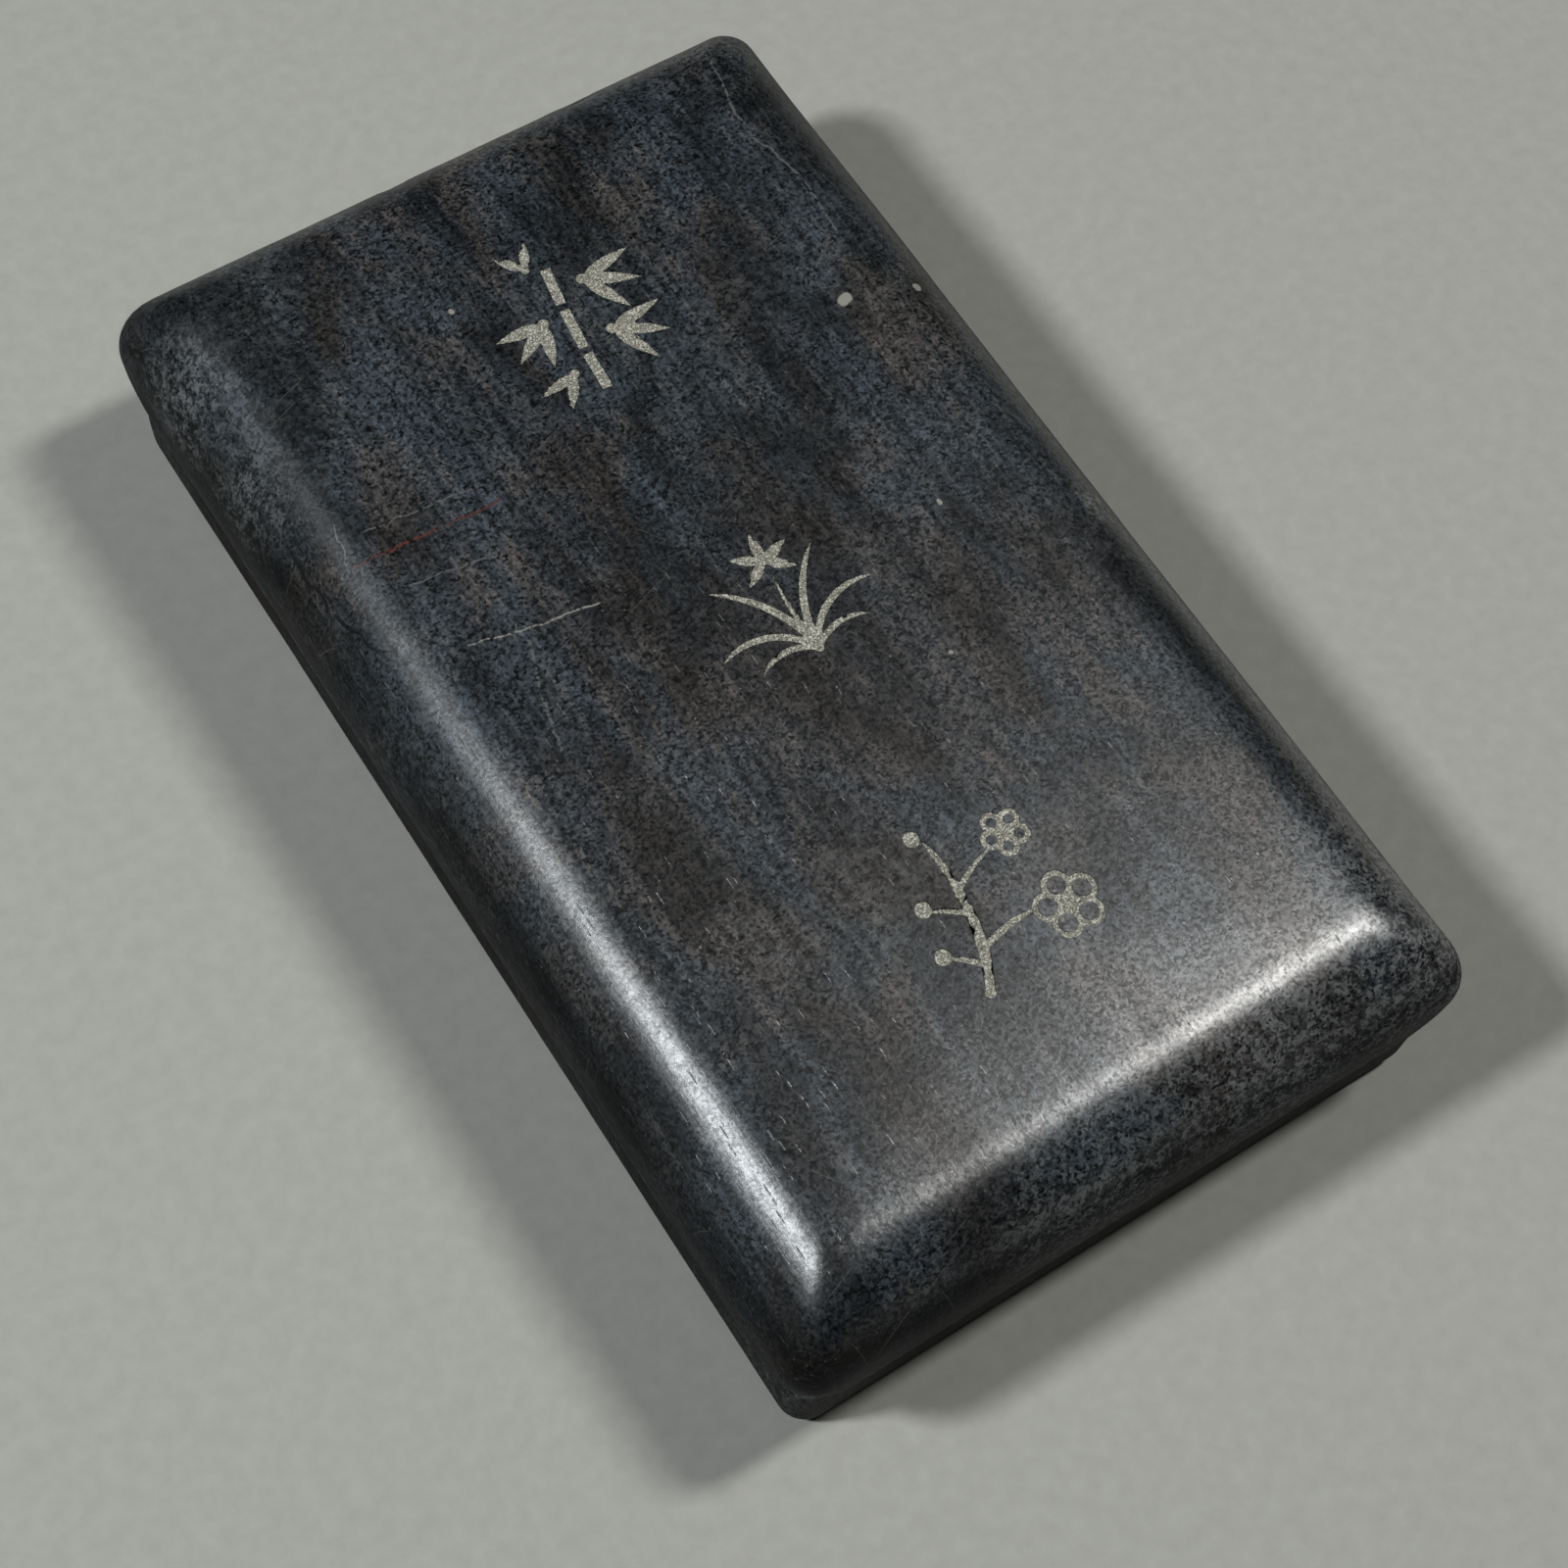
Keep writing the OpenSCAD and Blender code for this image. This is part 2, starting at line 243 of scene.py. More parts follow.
def lid_stations():
    shoulder_start = TOP - SHOULDER_FALL - CROWN_RISE
    middle = CASE_W / 2
    top = []
    insets = [SHOULDER_REACH * (1 - math.cos(math.radians(a))) for a in range(0, 91, 6)]
    insets += list(np.linspace(SHOULDER_REACH, middle, 34)[1:])
    for inset in insets:
        spread = CROWN_SPREAD * max(0.0, inset - SHOULDER_REACH)
        top.append((inset, crown_height(inset), CORNER - 0.12 * min(inset, SHOULDER_REACH) + spread))
    wall = []
    for z in np.linspace(RIM + ARRIS, shoulder_start, 9)[:-1]:
        low = max(0.0, 1 - (z - RIM) / (shoulder_start - RIM))
        wall.append((RIM_INSET * low ** 2, z, CORNER + (RIM_CORNER - CORNER) * low))
    pocket = RIM_INSET + LID_WALL
    rim = quarter(RIM_INSET + ARRIS, RIM, -ARRIS, ARRIS, RIM_CORNER - ARRIS, ARRIS, 3, rising=False)[:-1]
    inside = [(middle, CEILING, 1.0)]
    inside += level(middle, pocket + 1, CEILING, 1.0, 2.0, 14)
    inside += quarter(pocket + 1, CEILING, -1, -1, 2.0, -0.5, 4, rising=False)[1:]
    inside += [(pocket, RIM + 4, 1.5), (pocket, RIM + 0.4, 1.5), (pocket - 0.3, RIM, 1.8)]
    return inside + rim + wall + top


def base_stations():
    middle = CASE_W / 2
    lip = RIM_INSET + LID_WALL + LIP_GAP
    tray = lip + LIP_WALL
    ledge = RIM - 0.01
    foot = BASE_INSET + FOOT
    edge = tray + 3
    under = [(middle, RECESS, 1.0)] + level(middle, edge + 0.4, RECESS, 1.0, 3.0, 12)
    under += [(edge, RECESS - 0.4, 3.0), (edge - 0.1, 0.2, 3.0), (edge - 0.3, 0.0, 3.0)]
    under += level(edge - 0.3, foot, 0.0, 3.0, 1.8, 3)
    corner = CORNER - 0.4
    band = quarter(foot, 0.0, -FOOT, FOOT, 1.8, corner - 1.8, 6, rising=False)[1:]
    for z in np.linspace(FOOT, ledge - ARRIS, 7)[1:]:
        band.append((BASE_INSET - 0.12 * math.sin(math.pi * (z - FOOT) / (ledge - FOOT)), z, corner))
    band += quarter(BASE_INSET, ledge - ARRIS, ARRIS, ARRIS, corner, -ARRIS, 3)[1:]
    band += [(lip - 0.2, ledge, 1.6), (lip, ledge + 0.2, 1.5), (lip, LIP_TOP - 0.5, 1.5)]
    band += quarter(lip, LIP_TOP - 0.5, 0.5, 0.5, 1.5, 0.0, 3)[1:]
    band += quarter(tray - 0.5, LIP_TOP, 0.5, -0.5, 1.5, 0.0, 3, rising=False)
    for inset, rise in ((0.0, 0.5), (0.15, 0.15), (0.5, 0.0)):
        band.append((tray + inset, TRAY_FLOOR + rise, 1.5))
    return under + band + level(tray + 0.5, middle, TRAY_FLOOR, 1.5, 1.0, 14)


def hand_worked(obj, dents=(), broad=0.09, fine=0.025, seed=0.0, above=-1.0):
    """Gives a wooden piece the slight unevenness of hand work above a height, and its dents."""
    mesh = obj.data
    count = len(mesh.vertices)
    co = np.empty(count * 3)
    normal = np.empty(count * 3)
    mesh.vertices.foreach_get("co", co)
    mesh.vertices.foreach_get("normal", normal)
    co, normal = co.reshape(-1, 3) / MM, normal.reshape(-1, 3)
    push = np.zeros(count)
    for i in np.nonzero(co[:, 2] > above)[0]:
        p = Vector(co[i]) + Vector((seed, seed, seed))
        push[i] = broad * noise.noise(p / 21.0) + fine * noise.noise(p / 5.0)
        push[i] += fine * noise.noise(Vector((p.x / 2.2, p.y / 30.0, p.z / 2.2)))
    for centre, radius, depth in dents:
        away = np.linalg.norm(co - np.array(centre), axis=1) / radius
        near = np.nonzero(away < 1)[0]
        for i in near:
            rough = 0.75 + 0.6 * noise.noise(Vector(co[i]) / DENT_SCALE)
            push[i] -= depth * rough * (1 - away[i] ** 2) ** 2
    co += normal * push[:, None]
    mesh.vertices.foreach_set("co", (co * MM).ravel())
    mesh.update()


def paint_wear_and_highlight(obj, spots, highlight_height):
    """A value per point, for the material: up to 1 in the rubbed spots, and the rim's higher value along one
    level edge, where a highlight line is painted.
    """
    mesh = obj.data
    co = np.empty(len(mesh.vertices) * 3)
    mesh.vertices.foreach_get("co", co)
    co = co.reshape(-1, 3) / MM
    wear_and_highlight = np.zeros(len(co))
    for centre, radius, weight in spots:
        away = np.linalg.norm(co - np.array(centre), axis=1) / radius
        wear_and_highlight = np.maximum(wear_and_highlight, weight * np.clip(1 - away, 0, 1) ** 0.7)
    # A level band round this height, where the material paints a pale highlight line.
    edge = np.clip(1 - np.abs(co[:, 2] - highlight_height) / 0.8, 0, 1)
    wear_and_highlight = np.maximum(wear_and_highlight, RIM_HIGHLIGHT_LEVEL * edge)
    layer = mesh.attributes.new("wear_and_highlight", "FLOAT", "POINT")
    layer.data.foreach_set("value", wear_and_highlight)


def tree_of(obj):
    """A search tree of an object's faces."""
    bm = bmesh.new()
    bm.from_mesh(obj.data)
    tree = BVHTree.FromBMesh(bm)
    bm.free()
    return tree


def surface_height(tree, x, y):
    """Height of the lid's top, in millimetres, over a point given in millimetres."""
    hit = tree.ray_cast(Vector((x * MM, y * MM, 0.1)), Vector((0, 0, -1)))[0]
    return hit.z / MM if hit else crown_height(CASE_W / 2)


def top_region(node):
    """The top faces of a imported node, joined into one flat region, as a bmesh."""
    bm = bmesh.new()
    bm.from_mesh(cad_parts[node].data)
    highest = max(v.co.z for v in bm.verts)
    low = [f for f in bm.faces if min(v.co.z for v in f.verts) < highest - FLAT_TOP * MM]
    bmesh.ops.delete(bm, geom=low, context="FACES")
    bmesh.ops.remove_doubles(bm, verts=bm.verts, dist=WELD * MM)
    return bm


def prism_of(node, height_at, rise, drop):
    """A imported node's outline as a closed body between two distances from a surface."""
    bm = top_region(node)
    for v in bm.verts:
        v.co.z = (height_at(v.co.x / MM, v.co.y / MM) - drop) * MM
    raised = bmesh.ops.extrude_face_region(bm, geom=bm.faces[:])["geom"]
    for v in raised:
        if isinstance(v, bmesh.types.BMVert):
            v.co.z += (rise + drop) * MM
    bmesh.ops.recalc_face_normals(bm, faces=bm.faces)
    mesh = bpy.data.meshes.new(node + "_body")
    bm.to_mesh(mesh)
    bm.free()
    made = bpy.data.objects.new(node + "_body", mesh)
    bpy.context.scene.collection.objects.link(made)
    return made


def grainy_fill(node, height_at, rise, drop, grain):
    """A body with a node's outline and a finely uneven top."""
    made = prism_of(node, height_at, rise, drop)
    bm = bmesh.new()
    bm.from_mesh(made.data)
    for finest in (1.6, 0.8, 0.45, 0.3, 0.24):
        bmesh.ops.triangulate(bm, faces=bm.faces)
        bmesh.ops.beautify_fill(bm, faces=bm.faces, edges=[e for e in bm.edges if not e.is_boundary])
        long_edges = [e for e in bm.edges if e.calc_length() > finest * MM]
        bmesh.ops.subdivide_edges(bm, edges=long_edges, cuts=1)
    bmesh.ops.triangulate(bm, faces=bm.faces)
    for v in bm.verts:
        x, y, z = (c / MM for c in v.co)
        if z > height_at(x, y) + (rise - drop) / 2:
            rough = noise.noise(Vector((x, y, 3.1)) / 0.4) + noise.noise(Vector((x, y, 9.0)) / 1.1)
            v.co.z += grain * rough * MM
    bm.to_mesh(made.data)
    bm.free()
    return made


def cut_away(obj, tool):
    """Takes one closed body away from another."""
    cut = obj.modifiers.new("cut", "BOOLEAN")
    cut.operation = "DIFFERENCE"
    cut.solver = "EXACT"
    cut.object = tool
    graph = bpy.context.evaluated_depsgraph_get()
    result = bpy.data.meshes.new_from_object(obj.evaluated_get(graph))
    obj.modifiers.clear()
    old = obj.data
    obj.data = result
    bpy.data.meshes.remove(old)


def keep_normals(obj, uncut, height_at):
    """Gives what is left of a cut surface the normals it had before the cuts."""
    mesh, plain = obj.data, uncut.data
    old = BVHTree.FromPolygons([v.co for v in plain.vertices], [p.vertices for p in plain.polygons])
    on_top = [v.co.z > (CEILING + 2) * MM and abs(v.co.z / MM - height_at(*(v.co.xy / MM))) < ON_SURFACE
              for v in mesh.vertices]
    normals = [(0.0, 0.0, 0.0)] * len(mesh.loops)
    known = {}
    for face in mesh.polygons:
        if not all(on_top[k] for k in face.vertices):
            continue
        for loop in face.loop_indices:
            k = mesh.loops[loop].vertex_index
            if k not in known:
                place, _, nearest, _ = old.find_nearest(mesh.vertices[k].co)
                corners = [plain.vertices[c] for c in plain.polygons[nearest].vertices]
                shares = interpolate.poly_3d_calc([c.co for c in corners], place)
                known[k] = sum((c.normal * w for c, w in zip(corners, shares)), Vector()).normalized()
            normals[loop] = known[k]
    mesh.normals_split_custom_set(normals)


def discard(obj):
    mesh = obj.data
    bpy.data.objects.remove(obj)
    bpy.data.meshes.remove(mesh)


def crisp(obj, angle):
    """Smooth shading, with sharp edges where faces meet at more than an angle."""
    obj.data.polygons.foreach_set("use_smooth", [True] * len(obj.data.polygons))
    obj.data.set_sharp_from_angle(angle=math.radians(angle))
    obj.data.update()


# ---------------------------------------------------------------- materials

def shader(name, **uniform):
    """A new material, its node tree and its Principled shader, with the values that don't vary."""
    material = bpy.data.materials.new(name)
    material.use_nodes = True
    tree = material.node_tree
    principled = tree.nodes["Principled BSDF"]
    for key, value in uniform.items():
        principled.inputs[key.replace("_", " ")].default_value = value
    return material, tree, principled


def add(tree, kind, inputs, **settings):
    """A node of a kind, with its settings, and with its inputs set or linked."""
    made = tree.nodes.new("ShaderNode" + kind)
    for key, value in settings.items():
        setattr(made, key, value)
    for key, value in inputs.items():
        socket = made.inputs[key]
        if isinstance(value, bpy.types.NodeSocket):
            tree.links.new(value, socket)
        else:
            socket.default_value = value
    return made


def coordinates(tree, scale=(1, 1, 1), turn=(0, 0, 0), shift=(0, 0, 0)):
    """Coordinates on the object in millimetres, stretched, turned and shifted."""
    place = add(tree, "TexCoord", {}).outputs["Object"]
    turned = {"Vector": place, "Rotation": turn, "Scale": (MM,) * 3}
    turned = add(tree, "Mapping", turned, vector_type="TEXTURE").outputs[0]
    return add(tree, "Mapping", {"Vector": turned, "Scale": scale, "Location": shift}).outputs[0]


def noise_of(tree, where, scale, detail=3.0, rough=0.55, distortion=0.0):
    values = {"Vector": where, "Scale": scale, "Detail": detail, "Roughness": rough}
    return add(tree, "TexNoise", values | {"Distortion": distortion}).outputs["Fac"]


def random_cells(tree, where, scale):
    """A random value for each of many small cells."""
    cells = add(tree, "TexVoronoi", {"Vector": where, "Scale": scale}).outputs["Color"]
    return add(tree, "SeparateColor", {0: cells}).outputs[0]


def between(tree, value, low, high, to_low=0.0, to_high=1.0, smooth=False):
    """A value's place between two limits, clamped, as a number between two others."""
    values = {"Value": value, "From Min": low, "From Max": high, "To Min": to_low, "To Max": to_high}
    kind = "SMOOTHSTEP" if smooth else "LINEAR"
    return add(tree, "MapRange", values, interpolation_type=kind).outputs[0]


def maths(tree, operation, a, b=0.0):
    return add(tree, "Math", {0: a, 1: b}, operation=operation).outputs[0]


def times(tree, first, *others):
    """The product of several values."""
    for other in others:
        first = maths(tree, "MULTIPLY", first, other)
    return first


def blend(tree, factor, a, b, kind="MIX"):
    made = add(tree, "Mix", {0: factor}, data_type="RGBA", blend_type=kind)
    for index, value in ((6, a), (7, b)):
        if isinstance(value, bpy.types.NodeSocket):
            tree.links.new(value, made.inputs[index])
        else:
            made.inputs[index].default_value = (*value, 1)
    return made.outputs[2]


def bump(tree, height, strength, distance, normal=None):
    values = {"Height": height, "Strength": strength, "Distance": distance * MM}
    if normal is not None:
        values["Normal"] = normal
    return add(tree, "Bump", values).outputs[0]


def dashes(tree, width, length, share, seed, turn=0.0, depth=None, radius=0.34):
    """A mask of separate fine marks along Y, such as open pores: the size of their cells in millimetres."""
    scale = (1 / width, 1 / length, 1 / (depth or width))
    where = coordinates(tree, scale, (0, 0, turn), (seed, seed, seed))
    cells = add(tree, "TexVoronoi", {"Vector": where, "Scale": 1.0, "Randomness": 1.0})
    chosen = add(tree, "SeparateColor", {0: cells.outputs["Color"]}).outputs[0]
    spot = between(tree, cells.outputs["Distance"], radius, radius * 0.6, smooth=True)
    keep = maths(tree, "GREATER_THAN", chosen, 1 - share)
    return times(tree, spot, keep)


def vector(tree, operation, a, b=(0, 0, 0), output=0):
    return add(tree, "VectorMath", {0: a, 1: b}, operation=operation).outputs[output]


def scratch(tree, where, start, end, width):
    """A mask of one scratch between two points of the lid's top, seen from above, in millimetres."""
    run = Vector(end) - Vector(start)
    from_start = vector(tree, "SUBTRACT", where, (*start, 0))
    along = vector(tree, "DOT_PRODUCT", from_start, (*(run / run.length_squared), 0), "Value")
    along = between(tree, along, 0.0, 1.0)
    nearest = add(tree, "VectorMath", {0: (*run, 0), "Scale": along}, operation="SCALE").outputs[0]
    away = vector(tree, "DISTANCE", from_start, nearest, "Value")
    line = between(tree, away, width, width * 0.35, smooth=True)
    fade = times(tree, along, maths(tree, "SUBTRACT", 1.0, along))
    return times(tree, line, between(tree, fade, 0.0, 0.09))


def strongest(tree, masks):
    """The largest of several values."""
    out = masks[0]
    for mask in masks[1:]:
        out = maths(tree, "MAXIMUM", out, mask)
    return out


# ---------------------------------------------------------------- the wood

BLUE_BLACK, BROWN_BLACK = (0.0158, 0.0198, 0.0236), (0.0225, 0.0206, 0.0198)
# The first is the pale of dry wood and rubbed places, also used for the painted highlight line along the
# rim's edge; then open pores and fine scratches.
BLOOM_AND_HIGHLIGHT, OPEN_PORE, HAIRLINE = (0.19, 0.20, 0.205), (0.14, 0.138, 0.13), (0.12, 0.116, 0.11)
POLISH_RUN = 4.0        # height over which dull wood turns to burnished wood and the painted flank shade lifts, in millimetres
FLANK_PAINTED_SHADE = 0.38      # painted shade: the dull wood's share of the burnished wood's brightness, darkening the flanks
RIGHT_EDGE_PAINTED_SHADE = 0.55      # painted shade: the same darkening at the right edge of the case
BASE_PAINTED_SHADE = 0.7        # painted shade: the base, under the lid's rim, is darker than the lid
# The lid is burnished above this height; below it its flanks carry painted shade.
LID_POLISHED_FROM = 21.0
NOT_POLISHED = 30.0     # a height above the whole case, so the base is dull and carries painted flank shade all over


def wood_patterns(tree):
    """What the wood's colour and gloss are made from: specks, soft spots, grain and place on the case."""
    here = coordinates(tree)
    fine = noise_of(tree, here, 1.7, 5.0, 0.85)
    grit = random_cells(tree, here, 3.6)
    across, along, up = add(tree, "SeparateXYZ", {0: here}).outputs
    return SimpleNamespace(
        here=here, across=across, along=along, up=up, fine=fine,
        speck=maths(tree, "ADD", times(tree, fine, 0.78), times(tree, grit, 0.22)),
        mottle=noise_of(tree, here, 0.8, 3.0, 0.75),
        grain=noise_of(tree, coordinates(tree, (1 / 0.7, 1 / 9, 1 / 0.7)), 1.0, 3.0, 0.7),
    )


def wood_tone_and_painted_shade(tree, wood, polish_and_flank_shade, shade):
    """The wood's colour: blue-black and brown-black patches, darkened by painted shade on the flanks, at the
    right edge and, by the shade given, over the whole piece.
    """
    patches = noise_of(tree, coordinates(tree, (1 / 13, 1 / 26, 1 / 13)), 1.0, 3.0, 0.6, 0.8)
    elsewhere = coordinates(tree, (1 / 9, 1 / 20, 1 / 9), shift=(31, 5, 8))
    deep = noise_of(tree, elsewhere, 1.0, 2.0, 0.6, 0.5)
    tone = maths(tree, "ADD", patches, times(tree, maths(tree, "SUBTRACT", wood.speck, 0.5), 0.5))
    tone = maths(tree, "ADD", tone, times(tree, maths(tree, "SUBTRACT", wood.grain, 0.5), 0.35))
    colour = blend(tree, between(tree, tone, 0.43, 0.64, smooth=True), BLUE_BLACK, BROWN_BLACK)
    # Brightness from specks, grain and deep patches, times painted shade on the flanks, at the right edge
    # and over the whole piece.
    brightness_and_painted_shade = times(
        tree,
        between(tree, wood.speck, 0.36, 0.64, 0.0, 3.4),
        between(tree, wood.grain, 0.3, 0.7, 0.45, 1.6),
        between(tree, deep, 0.36, 0.60, 0.55, 1.3, smooth=True),
        between(tree, polish_and_flank_shade, 0.0, 1.0, FLANK_PAINTED_SHADE, 1.0),
        between(tree, wood.across, 27.0, 35.0, shade, shade * RIGHT_EDGE_PAINTED_SHADE),
    )
    grey = add(tree, "CombineColor", {0: brightness_and_painted_shade, 1: brightness_and_painted_shade, 2: brightness_and_painted_shade}).outputs[0]
    return blend(tree, 1.0, colour, grey, "MULTIPLY")


def bloom_and_rim_highlight(tree, wood):
    """A mask of pale, dry wood and painted highlight: faint clouds, the rubbed places, and a painted
    highlight line along the worn edge.
    """
    clouds = noise_of(tree, coordinates(tree, (1 / 16, 1 / 22, 1 / 16), shift=(40, 7, 3)), 1.0, 2.0)
    haze = times(tree, between(tree, clouds, 0.50, 0.72), between(tree, wood.mottle, 0.47, 0.66, 0.0, 0.28))
    wear_and_highlight = add(tree, "Attribute", {}, attribute_name="wear_and_highlight").outputs["Fac"]
    broken = between(tree, wood.speck, 0.38, 0.58)
    rubbed = times(tree, wear_and_highlight, between(tree, wood.mottle, 0.42, 0.56), broken)
    # The painted highlight line along the worn edge, broken up by specks.
    edge = times(tree, between(tree, wear_and_highlight, 1.1, 1.5), between(tree, wood.speck, 0.30, 0.50, 0.2, 0.9))
    return strongest(tree, [haze, rubbed, edge])


def wood_pores(tree, wood, polish_and_flank_shade):
    """A mask of the open pores along the grain. The wide ones show only where the wood is dull."""
    narrow = times(tree, dashes(tree, 0.28, 2.6, 0.12, 3.0), between(tree, wood.speck, 0.36, 0.56))
    dull = maths(tree, "SUBTRACT", 1.0, polish_and_flank_shade)
    return strongest(tree, [narrow, times(tree, dashes(tree, 0.55, 4.2, 0.10, 23.0, radius=0.26), dull)])


def lay_marks(tree, wood, colour, marks, chips):
    """Lays fine random scratches, the drawn marks and the chips over a colour."""
    hairs = [dashes(tree, 0.22, length, share, seed, math.radians(turn), 12.0, 0.3)
             for length, share, seed, turn in HAIRLINES]
    colour = blend(tree, times(tree, strongest(tree, hairs), 0.42), colour, HAIRLINE)
    wobble = add(tree, "TexNoise", {"Vector": wood.here, "Scale": 0.35, "Detail": 3.0}).outputs["Color"]
    wobble = vector(tree, "MULTIPLY_ADD", wobble, (1.4, 1.4, 0))
    flat = vector(tree, "ADD", vector(tree, "MULTIPLY", wood.here, (1, 1, 0)), wobble)
    on_top = maths(tree, "GREATER_THAN", wood.up, CEILING + 1)
    for tint, width, points in marks:
        runs = [scratch(tree, flat, start, end, width) for start, end in zip(points, points[1:])]
        mask = times(tree, strongest(tree, runs), between(tree, wood.speck, 0.36, 0.52), on_top)
        colour = blend(tree, mask, colour, tint)
    for middle, radius in chips:
        away = vector(tree, "DISTANCE", flat, (*middle, 0), "Value")
        spot = times(tree, between(tree, away, radius, radius * 0.7, smooth=True), on_top)
        colour = blend(tree, spot, colour, PALE)
    return colour


def burnish(tree, principled, wood, polish_and_flank_shade, bloom_and_highlight):
    """Gloss: dry on the flanks, waxed above them, and burnished near the front, where hands take the lid."""
    rough = maths(tree, "ADD", between(tree, wood.mottle, 0.3, 0.7, 0.31, 0.43), times(tree, bloom_and_highlight, 0.12))
    rough = maths(tree, "ADD", rough, between(tree, polish_and_flank_shade, 0.0, 1.0, 0.24, 0.0))
    near = between(tree, wood.along, -45.0, 35.0, 1.0, 0.22, smooth=True)
    handled = times(
        tree,
        near,
        between(tree, wood.across, -31.0, -22.0, 0.6, 1.0, smooth=True),
        between(tree, wood.speck, 0.38, 0.58, 0.35, 1.0),
    )
    sheen = times(tree, polish_and_flank_shade, between(tree, near, 0.0, 1.0, 0.5, 1.0))
    tree.links.new(rough, principled.inputs["Roughness"])
    tree.links.new(between(tree, sheen, 0.0, 1.0, 0.18, 0.5), principled.inputs["Specular IOR Level"])
    tree.links.new(times(tree, polish_and_flank_shade, handled), principled.inputs["Coat Weight"])


def wood_material(name, polished_from, shade, marks=(), chips=()):
    """Waxed, nearly black hardwood, dull and darkened by painted shade below a height, and burnished by
    handling above it.
    """
    material, tree, principled = shader(name, Coat_Roughness=0.28, Coat_IOR=1.62)
    wood = wood_patterns(tree)
    polish_and_flank_shade = between(tree, wood.up, polished_from, polished_from + POLISH_RUN, smooth=True)
    bloom_and_highlight = bloom_and_rim_highlight(tree, wood)
    pores = wood_pores(tree, wood, polish_and_flank_shade)
    dots = dashes(tree, 0.9, 1.3, 0.22, 17.0, radius=0.13)
    filled = times(tree, pores, between(tree, wood.mottle, 0.44, 0.60))
    pale = strongest(tree, [filled, times(tree, dots, 0.9)])
    # The tone with its painted shade, under the pale of dry wood, rubbed places and the painted rim
    # highlight.
    colour = blend(tree, bloom_and_highlight, wood_tone_and_painted_shade(tree, wood, polish_and_flank_shade, shade), BLOOM_AND_HIGHLIGHT)
    colour = blend(tree, times(tree, pale, 0.6), colour, OPEN_PORE)
    tree.links.new(lay_marks(tree, wood, colour, marks, chips), principled.inputs["Base Color"])
    burnish(tree, principled, wood, polish_and_flank_shade, bloom_and_highlight)
    height = maths(tree, "ADD", times(tree, wood.grain, 0.12), times(tree, wood.fine, 0.16))
    height = maths(tree, "SUBTRACT", height, times(tree, pores, 0.15))
    rough_surface = bump(tree, height, 0.8, 0.17)
    tree.links.new(rough_surface, principled.inputs["Normal"])
    tree.links.new(rough_surface, principled.inputs["Coat Normal"])
    return material


# ---------------------------------------------------------------- pigment, slate, ink and gilding

def pigment_material():
    """Dry silvery pigment with dark and bright grains."""
    material, tree, principled = shader("pigment_look", Specular_IOR_Level=0.4)
    here = coordinates(tree)
    grains = noise_of(tree, here, 6.5, 3.0, 0.85)
    colour = blend(tree, between(tree, grains, 0.40, 0.60), (0.06, 0.057, 0.048), (0.37, 0.36, 0.305))
    bright = maths(tree, "GREATER_THAN", random_cells(tree, here, 7.5), 0.8)
    colour = blend(tree, times(tree, bright, 0.7), colour, (0.6, 0.585, 0.52))
    tree.links.new(colour, principled.inputs["Base Color"])
    tree.links.new(between(tree, grains, 0.3, 0.7, 0.75, 0.45), principled.inputs["Roughness"])
    tree.links.new(bump(tree, grains, 0.5, 0.12), principled.inputs["Normal"])
    return material


def slate_material():
    """Dark slate, with dried ink where the stone holds it."""
    material, tree, principled = shader("slate_look", Specular_IOR_Level=0.45)
    here = coordinates(tree)
    layers = noise_of(tree, coordinates(tree, (1 / 9, 1 / 14, 1 / 1.2)), 1.0, 4.0, 0.6, 0.6)
    speck = noise_of(tree, here, 2.6, 3.0, 0.8)
    colour = blend(tree, between(tree, layers, 0.35, 0.65), (0.026, 0.029, 0.036), (0.062, 0.064, 0.072))
    colour = blend(tree, between(tree, speck, 0.52, 0.72), colour, (0.12, 0.122, 0.13))
    ink = add(tree, "Attribute", {}, attribute_name="ink").outputs["Fac"]
    colour = blend(tree, times(tree, ink, 0.88), colour, (0.006, 0.006, 0.007))
    tree.links.new(colour, principled.inputs["Base Color"])
    rough = between(tree, speck, 0.3, 0.7, 0.50, 0.66)
    rough = maths(tree, "SUBTRACT", rough, times(tree, ink, 0.24))
    tree.links.new(rough, principled.inputs["Roughness"])
    height = maths(tree, "ADD", speck, times(tree, layers, 0.6))
    tree.links.new(bump(tree, height, 0.25, 0.10), principled.inputs["Normal"])
    return material


def ink_material():
    """Pressed soot ink: black with a dull sheen, fine crazing and a faint bronze bloom."""
    material, tree, principled = shader("ink_look", Specular_IOR_Level=0.5)
    here = coordinates(tree)
    cloud = noise_of(tree, here, 0.22, 4.0, 0.6, 0.4)
    fine = noise_of(tree, here, 2.8, 3.0, 0.75)
    colour = blend(tree, between(tree, cloud, 0.38, 0.66), (0.010, 0.010, 0.011), (0.030, 0.026, 0.022))
    colour = blend(tree, between(tree, fine, 0.58, 0.74), colour, (0.06, 0.058, 0.055))
    crazing = add(tree, "TexVoronoi", {"Vector": here, "Scale": 0.32}, feature="DISTANCE_TO_EDGE")
    crack = between(tree, crazing.outputs["Distance"], 0.03, 0.008)
    crack = times(tree, crack, between(tree, cloud, 0.5, 0.6))
    colour = blend(tree, times(tree, crack, 0.7), colour, (0.004, 0.004, 0.004))
    tree.links.new(colour, principled.inputs["Base Color"])
    tree.links.new(between(tree, fine, 0.3, 0.7, 0.36, 0.54), principled.inputs["Roughness"])
    height = maths(tree, "SUBTRACT", times(tree, fine, 0.4), crack)
    tree.links.new(bump(tree, height, 0.35, 0.10), principled.inputs["Normal"])
    return material


